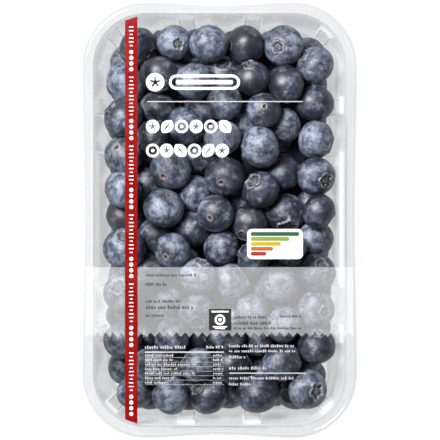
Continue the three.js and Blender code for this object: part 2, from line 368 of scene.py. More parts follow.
# the folds' painted shade, and the ledges' whitening with painted highlight, go to the sheet's
# material
fold_shades = profile[:, 4:] * ease(profile[:, :1] / RIM + 0.25) + 0 * ledge_whites_and_glints
sheet_marks = np.stack([fold_shades, ledge_whites_and_glints, 0 * ledge_whites_and_glints, 1 + 0 * ledge_whites_and_glints], axis=2)
add_attribute(tray.data, "sheet_marks", "FLOAT_COLOR", np.concatenate([sheet_marks, sheet_marks]))
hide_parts("tray")


# The berries lie loose, 210 highbush blueberries of 14 to 19 mm. Each has a star-shaped crown at
# one end and a small round stem scar at the other, and navy skin under a pale waxy bloom that
# patches and rubs away. They settle here by the same rule, from the same numbers, as in the frame.

BERRY_COUNT = 210
SMALLEST_RADIUS = 7
LARGEST_RADIUS = 9.3
BERRY_GAP = 0.4
HEAP_TOP = 55.5
HEAP_DOME = 4
START_LOW = 10
START_HIGH = 48
START_MARGIN = 18
SETTLING_ROUNDS = 400
PUSH = 0.25
SINK = 0.05
SWELL = 1.036
FLATNESS = 0.89
HEAP_SEED = 13
BLOOM_SEED = 5

FINE_ABOVE = 37  # a berry whose middle lies higher than this shows through the film
FINE_GRID = (20, 20, 9, 64)  # steps over the crown, the body and the scar, and round the berry
PLAIN_GRID = (8, 10, 4, 26)
BERRIES_PER_PIECE = 32
CROWN_ZONE = 0.55  # angles from the crown, and from the scar, that have fine steps
SCAR_ZONE = 0.30
CROWN_SIZE = (0.30, 0.42)  # shares of the berry's radius, as the scar's are
SCAR_SIZE = (0.085, 0.125)
STAR_DEPTH = (0.08, 0.27)  # shares of the crown's radius, as its edge's height is
CROWN_HEIGHT = (0.12, 0.24)
BARREL = (0.93, 1.0)  # below 1, the sides are fuller than an oval's
LUMP = 0.007
ANY_TURN = 6.28

BARE_SKIN = (0.0062, 0.0072, 0.018, 1)
BLOOM = (0.048, 0.062, 0.112, 1)
PALE_BLOOM = (0.270, 0.318, 0.404, 1)
BROWN_SKIN = (0.050, 0.028, 0.028, 1)
# the crown's hollow: partly its own dark dry skin, partly painted shade for the shade that falls in
# it
CROWN_FLOOR_SHADE = (0.016, 0.014, 0.017, 1)
CROWN_EDGE = (0.25, 0.26, 0.29, 1)
CROWN_DISC = (0.17, 0.15, 0.14, 1)
SCAR_HOLE = (0.020, 0.013, 0.011, 1)
SCAR_RING = (0.25, 0.20, 0.18, 1)
# round the scar: partly a brownish tint, partly painted shade in the dimple there
SCAR_HALO_SHADE = (0.030, 0.023, 0.026, 1)


def heap_numbers():
    """The frame's repeatable random numbers from 0 to 1."""
    state = HEAP_SEED
    while True:
        state = (state * 1664525 + 1013904223) % 4294967296
        yield state / 4294967296


def keep_inside(centres, radii):
    """Moves berries back inside the tray and under the heap's domed top."""
    reach = radii + BERRY_GAP
    middle = np.array([TRAY_WIDTH / 2 - CORNER, TRAY_LENGTH / 2 - CORNER])
    beyond = np.maximum(abs(centres[:, :2]) - middle, 0)
    out = np.hypot(beyond[:, 0], beyond[:, 1])
    room = CORNER - wall_inset(centres[:, 2]) - RIB_DEPTH - reach
    back = np.where(out > room, 1 - room / np.maximum(out, 1e-9), 0)
    centres[:, :2] -= np.sign(centres[:, :2]) * beyond * back[:, None]
    from_middle = (centres[:, 0] / (TRAY_WIDTH / 2)) ** 2 + (centres[:, 1] / (TRAY_LENGTH / 2)) ** 2
    highest = HEAP_TOP - HEAP_DOME * from_middle - radii
    lowest = TRAY_WALL + PANEL_LIFT + reach
    centres[:, 2] = np.minimum(np.maximum(centres[:, 2], lowest), highest)


def settle(centres, radii):
    """One round: berries that overlap push each other apart, and all sink a little."""
    between = centres[None] - centres[:, None]
    distance = np.sqrt((between ** 2).sum(axis=2))
    np.fill_diagonal(distance, np.inf)
    overlap = np.maximum(radii[None] + radii[:, None] - distance, 0)
    centres -= ((PUSH * overlap / distance)[:, :, None] * between).sum(axis=1)
    centres[:, 2] -= SINK
    keep_inside(centres, radii)


def heap_of_berries():
    """Middles, radii and crown axes of the berries, as in the frame."""
    numbers = heap_numbers()

    def between(low, high, share):
        return low + (high - low) * share

    far_x = TRAY_WIDTH / 2 - START_MARGIN
    far_y = TRAY_LENGTH / 2 - START_MARGIN
    radii, centres = [], []
    for n in range(BERRY_COUNT):
        share = (next(numbers) + next(numbers)) / 2
        radii.append(between(SMALLEST_RADIUS, LARGEST_RADIUS, share))
        x = between(-far_x, far_x, next(numbers))
        y = between(-far_y, far_y, (n + next(numbers)) / BERRY_COUNT)
        z = between(START_LOW, START_HIGH, next(numbers))
        centres.append((x, y, z))
    radii = np.array(radii)
    centres = np.array(centres)
    for _ in range(SETTLING_ROUNDS):
        settle(centres, radii)
    axes = []
    for _ in range(BERRY_COUNT):
        turn = 2 * math.pi * next(numbers)
        z = 2 * next(numbers) - 1
        level = math.sqrt(1 - z * z)
        axes.append((level * math.cos(turn), level * math.sin(turn), z))
    return centres, radii, np.array(axes)


def berry_angles(grid):
    """Angles from the crown's pole, close together over the crown and the scar."""
    crown_steps, body_steps, scar_steps, _ = grid
    crown = np.linspace(0, CROWN_ZONE, crown_steps + 1)
    body = np.linspace(CROWN_ZONE, math.pi - SCAR_ZONE, body_steps + 1)
    scar = np.linspace(math.pi - SCAR_ZONE, math.pi, scar_steps + 1)
    return np.concatenate([crown, body[1:], scar[1:]])


def hump(distance, width):
    """A smooth hump, 1 at no distance and gone past about two widths."""
    return np.exp(-((distance / width) ** 2))


def berry_points(radius, grid, random):
    """One berry round its own axis, with the crown up: points, marks for its crown's floor, where
    shade is painted, and edge and its scar's hole and ring, and marks for the scar's halo, part
    brownish tint and part painted shade, and the crown's disc."""
    polar = berry_angles(grid)[:, None]
    turn = np.linspace(0, 2 * math.pi, grid[3], endpoint=False)[None]
    wide = radius * SWELL
    from_crown = wide * polar
    from_scar = wide * (math.pi - polar)
    ways = np.stack(
        [np.sin(polar) * np.cos(turn), np.sin(polar) * np.sin(turn), np.cos(polar) + 0 * turn], axis=2
    )

    lumps = 1 + 0 * from_crown * turn
    for waves in (1.1, 1.7, 2.6):
        way = random.normal(size=3)
        way /= np.linalg.norm(way)
        lumps = lumps + LUMP * np.cos(waves * math.pi * (ways @ way) + ANY_TURN * random.random())

    crown = radius * random.uniform(*CROWN_SIZE)
    lobe = np.cos(5 * (turn + random.uniform(0, ANY_TURN)))
    star = 0.5 + 0.5 * lobe
    ragged = 0.05 * np.cos(2 * turn + random.uniform(0, ANY_TURN))
    for waves in (7, 11, 17):
        ragged = ragged + 0.028 * np.cos(waves * turn + random.uniform(0, ANY_TURN))
    edge = crown * (0.76 + random.uniform(*STAR_DEPTH) * star + ragged)
    floor = ease((edge * 1.03 - from_crown) / (0.30 * crown))
    rise = hump(from_crown - edge * 1.12, 0.19 * crown) * (0.6 + 0.4 * star + 2 * ragged)
    disc = ease((0.62 * crown * (1 + ragged) - from_crown) / (0.16 * crown)) * (0.8 + 0.2 * lobe)
    shoulder = hump(from_crown - 1.55 * crown, 0.5 * crown)
    crown_lift = -0.27 * crown * floor + random.uniform(*CROWN_HEIGHT) * crown * rise
    crown_lift = crown_lift + 0.13 * crown * disc + 0.02 * crown * shoulder

    scar = radius * random.uniform(*SCAR_SIZE)
    wobble = 1 + 0.10 * np.cos(2 * turn + ANY_TURN * random.random())
    wobble = wobble + 0.07 * np.cos(3 * turn + ANY_TURN * random.random())
    hole = ease((scar * 0.98 * wobble - from_scar) / (0.5 * scar))
    ring = hump(from_scar - 1.45 * scar * wobble, 0.62 * scar)
    dimple = hump(from_scar, 4.2 * scar)
    scar_lift = -0.75 * scar * hole + 0.16 * scar * ring - 0.28 * scar * dimple

    lift = crown_lift + scar_lift
    barrel = random.uniform(*BARREL)
    level = wide * np.maximum(np.sin(polar), 0) ** barrel * lumps + lift * np.sin(polar)
    level = level + 0.10 * crown * rise * (polar > 0)
    height = wide * FLATNESS * np.cos(polar) * lumps + lift * np.cos(polar)
    points = np.stack([level * np.cos(turn), level * np.sin(turn), height], axis=2)
    marks = np.stack([floor + 0 * turn, rise + 0 * turn, hole + 0 * turn, ring + 0 * turn], axis=2)
    extra = np.stack([hump(from_scar, 4.4 * scar) + 0 * turn, disc + 0 * turn], axis=2)
    points[0] = points[0].mean(axis=0)
    points[-1] = points[-1].mean(axis=0)
    return points, marks, extra


def turn_to(axis):
    """The shortest turn that takes +Z to an axis, as a matrix."""
    return np.array(Vector((0, 0, 1)).rotation_difference(Vector(axis)).to_matrix())


def berry_faces(rows, count, first):
    """Faces of one berry: rows of rings between two single points, at the crown and the scar."""
    crown_pole = first
    ring = first + 1
    scar_pole = ring + (rows - 2) * count
    faces = []
    for i in range(count):
        ahead = (i + 1) % count
        faces.append((crown_pole, ring + i, ring + ahead))
        for row in range(rows - 3):
            low = ring + row * count
            faces.append((low + i, low + count + i, low + count + ahead, low + ahead))
        low = scar_pole - count
        faces.append((low + i, scar_pole, low + ahead))
    return faces


def flat_berry(grid_values):
    """A berry's grid of values as a list, with a single one at each pole."""
    inner = grid_values[1:-1].reshape(-1, grid_values.shape[2])
    return np.concatenate([grid_values[0, :1], inner, grid_values[-1, :1]])


def berry_piece(name, indices, grid, material):
    """Some of the berries as one piece, with what the skin's material needs at each point."""
    points, marks, places, tones, faces = [], [], [], [], []
    start = 0
    for n in indices:
        random = np.random.default_rng([BLOOM_SEED, int(n)])
        own, own_marks, own_extra = berry_points(radii[n], grid, random)
        own = flat_berry(own)
        flip = 1 if random.random() < 0.5 else -1
        turned = own @ turn_to(flip * axes[n]).T
        points.append(turned + centres[n])
        marks.append(flat_berry(own_marks))
        places.append(own + random.uniform(-500, 500, 3))
        own_tone = np.tile(random.random(2), (len(own), 1))
        tones.append(np.column_stack([own_tone, flat_berry(own_extra)]))
        faces += berry_faces(len(berry_angles(grid)), grid[3], start)
        start += len(own)
    piece = mesh_piece(name, np.concatenate(points), faces, material)
    add_attribute(piece.data, "skin_marks", "FLOAT_COLOR", np.concatenate(marks))
    add_attribute(piece.data, "skin_place", "FLOAT_VECTOR", np.concatenate(places))
    add_attribute(piece.data, "skin_tone", "FLOAT_COLOR", np.concatenate(tones))
    return piece


def berry_skin():
    """Navy skin under patchy bloom, rubbed bare in streaks, with the crown's and scar's colours
    and painted shade in the crown's hollow and round the scar.
    """
    material, tree = blank_material("berry_skin")
    place = add_node(tree, "ShaderNodeAttribute", attribute_name="skin_place").outputs["Vector"]
    frosty, ruddy, scar_halo_shade, disc = read_marks(tree, "skin_tone")
    crown_floor_shade, crown_edge, scar_hole, scar_ring = read_marks(tree, "skin_marks")

    def combine(operation, first, second):
        return do_math(tree, operation, first, second)

    patches = add_noise(tree, place, 0.12, 3.0, 0.5)
    spots = add_noise(tree, place, 0.55, 3.0, 0.6)
    mottle = add_noise(tree, place, 1.3, 4.0, 0.65)
    stretch = {"Vector": place, "Scale": (0.16, 0.9, 0.35), "Rotation": (0.4, 0.7, 0.2)}
    stretched = add_node(tree, "ShaderNodeMapping", stretch).outputs[0]
    streaks = map_range(tree, add_noise(tree, stretched, 1.0, 5.0, 0.6), 0.54, 0.66)
    lie = combine("ADD", combine("MULTIPLY", patches, 0.44), combine("MULTIPLY", spots, 0.26))
    lie = combine("ADD", lie, combine("MULTIPLY", mottle, 0.30))
    amount = combine("ADD", lie, combine("MULTIPLY", combine("SUBTRACT", frosty, 0.5), 0.13))
    cover = map_range(tree, amount, 0.415, 0.605, 0.04, 1.0)
    bloom = combine("MULTIPLY", cover, map_range(tree, streaks, 0.0, 1.0, 1.0, 0.35))
    flecks = map_range(tree, add_noise(tree, place, 0.95, 4.0, 0.6), 0.58, 0.67, 1.0, 0.35)
    bloom = combine("MULTIPLY", bloom, flecks)

    thick = add_noise(tree, place, 0.30, 4.0, 0.6)
    pale_lie = combine("ADD", thick, combine("MULTIPLY", frosty, 0.12))
    pale = map_range(tree, pale_lie, 0.45, 0.69)
    bloom_colour = mix_colour(tree, pale, BLOOM, PALE_BLOOM)
    brown = combine(
        "MULTIPLY",
        map_range(tree, ruddy, 0.84, 1.0, 0.0, 0.9),
        map_range(tree, add_noise(tree, place, 0.12), 0.45, 0.60),
    )
    skin = mix_colour(tree, brown, BARE_SKIN, BROWN_SKIN)
    colour = mix_colour(tree, combine("MULTIPLY", bloom, 0.94), skin, bloom_colour)
    # painted shade, with a brownish tint, in the dimple round the scar
    colour = mix_colour(tree, combine("MULTIPLY", scar_halo_shade, 0.45), colour, SCAR_HALO_SHADE)
    # painted shade in the crown's hollow, over its own dark skin
    colour = mix_colour(tree, combine("MULTIPLY", crown_floor_shade, 0.9), colour, CROWN_FLOOR_SHADE)
    disc = combine("MULTIPLY", disc, map_range(tree, mottle, 0.42, 0.56, 0.25, 0.9))
    colour = mix_colour(tree, disc, colour, CROWN_DISC)
    edge = map_range(tree, crown_edge, 0.30, 0.95, 0.0, 0.75)
    colour = mix_colour(tree, edge, colour, CROWN_EDGE)
    ring = map_range(tree, scar_ring, 0.25, 0.85, 0.0, 0.85)
    ring = combine("MULTIPLY", ring, map_range(tree, frosty, 0.0, 1.0, 0.55, 1.0))
    colour = mix_colour(tree, ring, colour, SCAR_RING)
    colour = mix_colour(tree, map_range(tree, scar_hole, 0.25, 0.7), colour, SCAR_HOLE)

    height = combine("ADD", combine("MULTIPLY", mottle, 0.5), add_noise(tree, place, 4.5, 2.0))
    bump = add_node(tree, "ShaderNodeBump", {"Height": height, "Distance": 0.00006, "Strength": 0.5})
    surface = add_node(
        tree,
        "ShaderNodeBsdfPrincipled",
        {
            "Base Color": colour,
            "Roughness": map_range(tree, bloom, 0.0, 1.0, 0.43, 0.60),
            "IOR": 1.6,
            "Specular IOR Level": 0.62,
            "Normal": bump.outputs["Normal"],
        },
    ).outputs[0]
    finish_material(tree, surface)
    return material


CORE_TOP = 30
CORE_BOTTOM = 12
CORE_INSET = 13
CORE_BULGE = 6  # it reaches this much further out at half its height
CORE_WAVE = 1.6
CORE_SIDES = 72
CORE_RINGS = 16
# painted shade: the core's colours are darker than the berries' bare skin and bloom
DEEP_SHADE_SKIN = (0.004, 0.005, 0.010, 1)
DEEP_SHADE_BLOOM = (0.011, 0.014, 0.025, 1)


def core_piece(material):
    """The middle of the heap, a lumpy pillow that closes the gaps between the berries, painted nearly
    black as the shade deep in the heap.
    """
    half = (CORE_TOP - CORE_BOTTOM) / 2
    every = len(OUTLINE[0]) // CORE_SIDES
    rings = []
    for turn in np.linspace(0, math.pi, CORE_RINGS):
        z = CORE_BOTTOM + half + half * math.cos(turn)
        inset = wall_inset(z) + RIB_DEPTH + CORE_INSET - CORE_BULGE * math.sin(turn)
        rings.append(outline_ring(inset, z)[::every])
    shares = np.linspace(0.01, 1, CORE_RINGS, endpoint=False)[:, None, None]
    level = np.array([1, 1, 0])
    top = rings[0] * (shares * level + (1 - level))
    bottom = rings[-1] * (shares[::-1] * level + (1 - level))
    grid = np.concatenate([top, np.array(rings), bottom])
    x, y = grid[:, :, 0], grid[:, :, 1]
    grid[:, :, 2] += CORE_WAVE * np.sin(x / 3.1) * np.sin(y / 3.4 + x / 9)
    grid[0] = grid[0].mean(axis=0)
    grid[-1] = grid[-1].mean(axis=0)
    return mesh_piece("berries_core", flat_berry(grid), berry_faces(*grid.shape[:2], 0), material)


def deep_shade_skin():
    """Painted shade: skin darker than any berry's, for the shade that falls in the depth of the heap.
    """
    material, tree = blank_material("deep_shade_skin")
    cloud = map_range(tree, add_noise(tree, object_place(tree), 180.0), 0.3, 0.7)
    colour = mix_colour(tree, cloud, DEEP_SHADE_SKIN, DEEP_SHADE_BLOOM)
    inputs = {"Base Color": colour, "Roughness": 0.8, "Specular IOR Level": 0.1}
    surface = add_node(tree, "ShaderNodeBsdfPrincipled", inputs)
    finish_material(tree, surface.outputs[0])
    return material


centres, radii, axes = heap_of_berries()
skin_material = berry_skin()
along_tray = np.argsort(centres[:, 1])
upper = [n for n in along_tray if centres[n, 2] > FINE_ABOVE]
lower = [n for n in along_tray if centres[n, 2] <= FINE_ABOVE]
berry_pieces = [
    core_piece(deep_shade_skin()),
    berry_piece("berries_lower", lower, PLAIN_GRID, skin_material),
]
for part, start in enumerate(range(0, len(upper), BERRIES_PER_PIECE), 1):
    some = upper[start:start + BERRIES_PER_PIECE]
    berry_pieces.append(berry_piece(f"berries_upper_{part}", some, FINE_GRID, skin_material))
for piece in berry_pieces:
    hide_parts("berries")


# The film is a clear sheet, heat-sealed to the rim and drawn taut over the opening, where it
# keeps a few long shallow waves.

film_low, film_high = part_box("film")
FILM_EDGE = 0.6
FILM_THICK = (film_high.z - film_low.z) / MM
FILM_TOP = film_high.z / MM
FILM_SAG = 0.12
FILM_WAVE = 0.05
FILM_FLAT_X = 54  # further out than this the film lies flat
FILM_FLAT_Y = 89
FILM_RINGS = 40
FILM_TINT = (0.985, 0.988, 0.99, 1)
FILM_GLOSS = (0.95, 0.96, 0.97, 1)


def film_dip(x, y):
    """How far the film lies under its highest level: nothing over the rim."""
    across = 1 - np.clip(abs(x) / FILM_FLAT_X, 0, 1) ** 4
    along = 1 - np.clip(abs(y) / FILM_FLAT_Y, 0, 1) ** 4
    waves = np.sin(x / 17 + y / 41) + np.sin(y / 23 - x / 60 + 1.3) + 2
    return across * along * (FILM_SAG + FILM_WAVE * waves)


def film_skin(level):
    """Rings from the middle of the film out to its edge."""
    edge = outline_ring(FILM_EDGE, level, 0, 1)
    shares = np.linspace(0.02, 1, FILM_RINGS) ** 0.8
    rings = edge[None] * shares[:, None, None]
    rings[:, :, 2] = level - film_dip(rings[:, :, 0], rings[:, :, 1])
    return rings


def clear_film():
    """Very clear thin film: it mirrors, and hides, next to nothing when seen straight on."""
    material, tree = blank_material("clear_film")
    place = object_place(tree)
    through = add_node(tree, "ShaderNodeBsdfTransparent", {"Color": FILM_TINT}).outputs[0]
    smear = add_noise(tree, place, 35.0)
    gloss = add_node(
        tree,
        "ShaderNodeBsdfGlossy",
        {"Color": FILM_GLOSS, "Roughness": map_range(tree, smear, 0.3, 0.7, 0.05, 0.10)},
    ).outputs[0]
    mirror = do_math(tree, "MULTIPLY", do_math(tree, "POWER", glancing(tree), 5.0), 0.9)
    share = do_math(tree, "ADD", mirror, 0.035)
    surface = add_node(tree, "ShaderNodeMixShader", {0: share, 1: through, 2: gloss}).outputs[0]
    finish_material(tree, surface)
    return material


film_rings = film_skin(FILM_TOP)
film_points = np.concatenate([film_rings, film_rings - (0, 0, FILM_THICK)]).reshape(-1, 3)
film = mesh_piece("film_sheet", film_points, shell_faces(*film_rings.shape[:2]), clear_film())
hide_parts("film")


# The red stripe is printed along the left side of the film, and carries a white row of marks that
# repeats: a group of bold dots and a longer group of thin bars.

INK_THICK = 0.1  # fine print stands this far above what it lies on
INK_STEPS = 5  # per quarter turn of a rounded corner
stripe_low, stripe_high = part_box("print_stripe")
STRIPE_MIDDLE = (stripe_low.x + stripe_high.x) / 2 / MM
STRIPE_REACH = 86
STRIPE_TOP = stripe_high.z / MM
STRIPE_PERIOD = 30
DOTS = 4
DOT_START = 1.6
DOT_PITCH = 2.5
DOT_RADIUS = 0.85
DOT_ROOM = 1.1  # what a dot needs at the stripe's end
BARS = 11
BAR_START = 11.9
BAR_PITCH = 1.62
BAR_HALF = 1.0
SHORT_BAR_HALF = 0.65  # every third bar is short
BAR_RISE = 0.21
BAR_ROOM = 0.5
STRIPE_RED = (0.205, 0.001, 0.001, 1)
INK_WHITE = (0.92, 0.92, 0.92, 1)
THIN_WHITE = (0.42, 0.42, 0.43, 1)


def rounded_outline(left, right, bottom, top, corner, steps=INK_STEPS):
    """A rectangle with rounded corners, anticlockwise."""
    points = []
    middles = [
        (right - corner, top - corner),
        (left + corner, top - corner),
        (left + corner, bottom + corner),
        (right - corner, bottom + corner),
    ]
    for quarter, (x, y) in enumerate(middles):
        for step in range(steps + 1):
            angle = (quarter + step / steps) * math.pi / 2
            points.append((x + corner * math.cos(angle), y + corner * math.sin(angle)))
    return points


def round_outline(x, y, radius, steps=24):
    """A circle, anticlockwise."""
    angles = [2 * math.pi * step / steps for step in range(steps)]
    return [(x + radius * math.cos(angle), y + radius * math.sin(angle)) for angle in angles]


class Print:
    """Flat shapes of one ink, joined in one piece."""

    def __init__(self):
        self.points = []
        self.faces = []

    def add(self, outline, low):
        """A shape that lies at a height."""
        first = len(self.points)
        count = len(outline)
        self.points += [(x, y, low) for x, y in outline]
        self.points += [(x, y, low + INK_THICK) for x, y in outline]
        self.faces.append([first + i for i in reversed(range(count))])
        self.faces.append([first + count + i for i in range(count)])
        for i in range(count):
            ahead = (i + 1) % count
            self.faces.append([first + i, first + ahead, first + count + ahead, first + count + i])

    def add_ring(self, outer, inner, low):
        """A shape with a hole: both outlines have as many points."""
        first = len(self.points)
        count = len(outer)
        for outline in (outer, inner):
            for z in (low, low + INK_THICK):
                self.points += [(x, y, z) for x, y in outline]
        for i in range(count):
            ahead = (i + 1) % count
            outer_low, outer_high, inner_low, inner_high = [
                (first + part * count + i, first + part * count + ahead) for part in range(4)
            ]
            self.faces.append([outer_low[0], outer_low[1], outer_high[1], outer_high[0]])
            self.faces.append([inner_low[1], inner_low[0], inner_high[0], inner_high[1]])
            self.faces.append([outer_high[0], outer_high[1], inner_high[1], inner_high[0]])
            self.faces.append([outer_low[1], outer_low[0], inner_low[0], inner_low[1]])

    def piece(self, name, material, slot=None):
        """The finished piece."""
        piece = mesh_piece(name, self.points, self.faces, material, smooth=False)
        return piece


def ink(name, colour, roughness, uneven=0.06):
    """Printing ink: its colour and gloss are slightly uneven."""
    material, tree = blank_material(name)
    place = object_place(tree)
    cloud = add_noise(tree, place, 90.0, 4.0)
    darker = tuple(channel * (1 - uneven) for channel in colour[:3]) + (1,)
    colour_now = mix_colour(tree, map_range(tree, cloud, 0.3, 0.7), darker, colour)
    surface = add_node(
        tree,
        "ShaderNodeBsdfPrincipled",
        {
            "Base Color": colour_now,
            "Roughness": map_range(tree, cloud, 0.3, 0.7, roughness, roughness + 0.1),
            "IOR": 1.37,
        },
    ).outputs[0]
    finish_material(tree, surface)
    return material


def dress(node, material):
    """A kept piece of the frame gets its finish."""
    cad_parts[node].data.materials.clear()
    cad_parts[node].data.materials.append(material)


white_ink = ink("white_ink", INK_WHITE, 0.4, 0.03)
thin_white_ink = ink("thin_white_ink", THIN_WHITE, 0.4, 0.1)
dress("print_stripe", ink("red_ink", STRIPE_RED, 0.22))
stripe_marks = Print()
row_start = -STRIPE_REACH
while row_start < STRIPE_REACH:
    for dot in range(DOTS):
        y = row_start + DOT_START + DOT_PITCH * dot
        if y + DOT_ROOM < STRIPE_REACH:
            stripe_marks.add(round_outline(STRIPE_MIDDLE, y, DOT_RADIUS), STRIPE_TOP)
    for bar in range(BARS):
        y = row_start + BAR_START + BAR_PITCH * bar
        half = BAR_HALF if bar % 3 else SHORT_BAR_HALF
        if y + BAR_ROOM < STRIPE_REACH:
            left, right = STRIPE_MIDDLE - half, STRIPE_MIDDLE + half
            outline = rounded_outline(left, right, y - BAR_RISE, y + BAR_RISE, 0.18)
            stripe_marks.add(outline, STRIPE_TOP)
    row_start += STRIPE_PERIOD
stripe_marks.piece("stripe_marks", white_ink, "white_ink")


# The frosted band is white ink printed so thinly that the berries show through it. Small lines of
# grey print lie on it.

BAND_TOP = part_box("print_band_right")[1].z / MM
BAND_WHITE = (0.90, 0.905, 0.915, 1)
GREY_INK = (0.05, 0.05, 0.055, 1)
WORD_BLOCKS = (2, 8)  # a word has 2 to 7 blocks
BLOCK_WIDTH = (0.30, 0.58)  # shares of the line's height, as the gaps are
BLOCK_GAP = 0.27
WORD_GAP = 0.5
LOW_BLOCK = 0.72
TALL_SHARE = 0.3  # the share of blocks as tall as the line


def frosted_ink():
    """Thin white ink that lets most of the light through."""
    material, tree = blank_material("frosted_ink")
    place = object_place(tree)
    cloud = add_noise(tree, place, 140.0, 4.0)
    through = add_node(tree, "ShaderNodeBsdfTransparent", {"Color": (1, 1, 1, 1)}).outputs[0]
    white = add_node(
        tree,
        "ShaderNodeBsdfPrincipled",
        {"Base Color": BAND_WHITE, "Roughness": 0.65, "IOR": 1.4},
    ).outputs[0]
    share = map_range(tree, cloud, 0.25, 0.75, 0.108, 0.118)
    surface = add_node(tree, "ShaderNodeMixShader", {0: share, 1: through, 2: white}).outputs[0]
    finish_material(tree, surface)
    return material


def text_line(sheet, left, right, y, height, low, seed):
    """A line of print as words of small blocks, some of them taller."""
    random = np.random.default_rng([31, seed])
    x = left
    foot = y - height / 2
    while x < right:
        for _ in range(random.integers(*WORD_BLOCKS)):
            wide = height * random.uniform(*BLOCK_WIDTH)
            tall = height * (1.0 if random.random() < TALL_SHARE else LOW_BLOCK)
            if x + wide < right:
                sheet.add(rounded_outline(x, x + wide, foot, foot + tall, wide * 0.3, 2), low)
            x += wide + BLOCK_GAP * height
        x += WORD_GAP * height


band_material = frosted_ink()
dress("print_band_left", band_material)
dress("print_band_right", band_material)
grey_print = Print()
GREY_LINES = [  # left, right, y and height of each line
    (-32.0, -9.8, -23.9, 1.2),
    (-32.0, -22.9, -27.9, 1.2),
    (-32.0, -17.2, -35.3, 1.2),
    (-32.0, -11.1, -37.9, 1.6),
    (-32.0, -23.3, -41.4, 1.2),
    (6.3, 20.2, -42.2, 1.1),
    (6.3, 22.0, -44.8, 1.3),
    (6.3, 35.9, -47.0, 1.1),
    (26.3, 35.9, -41.8, 1.1),
]
for seed, (left, right, y, height) in enumerate(GREY_LINES):
    text_line(grey_print, left, right, y, height, BAND_TOP, seed)
grey_print.piece("band_lines", ink("grey_ink", GREY_INK, 0.5), "black_ink")


# The white print on the film: a heading of a berry sign and a framed bar, a thin rule, two title
# rows of berry and leaf signs, and at the foot a table and notes in small lines.

PRINT_LOW = FILM_TOP
heading_low, heading_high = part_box("print_heading")
HEADING_LEFT = heading_low.x / MM
HEADING_RIGHT = heading_high.x / MM
HEADING_Y = (heading_low.y + heading_high.y) / 2 / MM
HEADING_TALL = (heading_high.y - heading_low.y) / MM
HEADING_GAP = 2
FRAME_TALL = 6.6
FRAME_STROKE = 1.15
FRAME_BAR_INSET = 3
FRAME_BAR_HALF = 0.9
STAR_STEPS = 60


def star_outline(x, y, outer, inner):
    """A five-pointed star with soft points, with as many points as the circle round it."""
    points = []
    for step in range(STAR_STEPS):
        angle = 2 * math.pi * step / STAR_STEPS
        point = (0.5 + 0.5 * math.cos(5 * (angle - math.pi / 2))) ** 1.4
        radius = inner + (outer - inner) * point
        points.append((x + radius * math.cos(angle), y + radius * math.sin(angle)))
    return points


heading = Print()
disc = HEADING_TALL / 2
disc_x = HEADING_LEFT + disc
heading.add_ring(
    round_outline(disc_x, HEADING_Y, disc, STAR_STEPS),
    star_outline(disc_x, HEADING_Y, disc * 0.62, disc * 0.22),
    PRINT_LOW,
)
frame_left = HEADING_LEFT + 2 * disc + HEADING_GAP
frame_low = HEADING_Y - FRAME_TALL / 2
frame_high = HEADING_Y + FRAME_TALL / 2
heading.add_ring(
    rounded_outline(frame_left, HEADING_RIGHT, frame_low, frame_high, FRAME_TALL / 2),
    rounded_outline(
        frame_left + FRAME_STROKE,
        HEADING_RIGHT - FRAME_STROKE,
        frame_low + FRAME_STROKE,
        frame_high - FRAME_STROKE,
        FRAME_TALL / 2 - FRAME_STROKE,
    ),
    PRINT_LOW,
)
bar_outline = rounded_outline(
    frame_left + FRAME_BAR_INSET,
    HEADING_RIGHT - FRAME_BAR_INSET,
    HEADING_Y - FRAME_BAR_HALF,
    HEADING_Y + FRAME_BAR_HALF,
    FRAME_BAR_HALF,
)
heading.add(bar_outline, PRINT_LOW)
heading_piece = heading.piece("heading_signs", white_ink, "white_ink")
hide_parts("print_heading")

rule_low, rule_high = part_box("print_rule")
RULE_Y = (rule_low.y + rule_high.y) / 2 / MM
RULE_HALF = 0.22
rule = Print()
rule_ends = rule_low.x / MM, rule_high.x / MM
rule.add(rounded_outline(*rule_ends, RULE_Y - RULE_HALF, RULE_Y + RULE_HALF, 0.2), PRINT_LOW)
rule_piece = rule.piece("rule_line", thin_white_ink, "white_ink")
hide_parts("print_rule")

SIGN_STROKE = 1.0
LEAF_STEPS = 40


def leaf_outline(x, y, long, wide, tilt):
    """A pointed leaf, tilted, with as many points as its vein."""
    points = []
    for step in range(LEAF_STEPS):
        angle = 2 * math.pi * step / LEAF_STEPS
        along = long / 2 * math.cos(angle)
        across = wide / 2 * math.sin(angle) * abs(math.sin(angle)) ** 0.6
        turned_x = along * math.cos(tilt) - across * math.sin(tilt)
        turned_y = along * math.sin(tilt) + across * math.cos(tilt)
        points.append((x + turned_x, y + turned_y))
    return points


def title_row(name, node, signs):
    """A title row of signs, evenly spaced: whole berries, open berries and leaves."""
    low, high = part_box(node)
    middle = (low.y + high.y) / 2 / MM
    radius = (high.y - low.y) / 2 / MM
    places = np.linspace(low.x / MM + radius, high.x / MM - radius, len(signs))
    row = Print()
    for x, sign in zip(places, signs):
        circle = round_outline(x, middle, radius, STAR_STEPS)
        if sign == "berry":
            row.add_ring(circle, star_outline(x, middle, radius * 0.6, radius * 0.2), PRINT_LOW)
        elif sign == "open":
            hole = round_outline(x, middle, radius - SIGN_STROKE, STAR_STEPS)
            row.add_ring(circle, hole, PRINT_LOW)
            row.add(round_outline(x, middle, radius * 0.25), PRINT_LOW)
        else:
            tilt = math.radians(50 if sign == "leaf_right" else 130)
            outer = leaf_outline(x, middle, 2.3 * radius, 1.75 * radius, tilt)
            row.add_ring(outer, leaf_outline(x, middle, 1.7 * radius, 0.22 * radius, tilt), PRINT_LOW)
    piece = row.piece(name, white_ink, "white_ink")
    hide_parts(node)


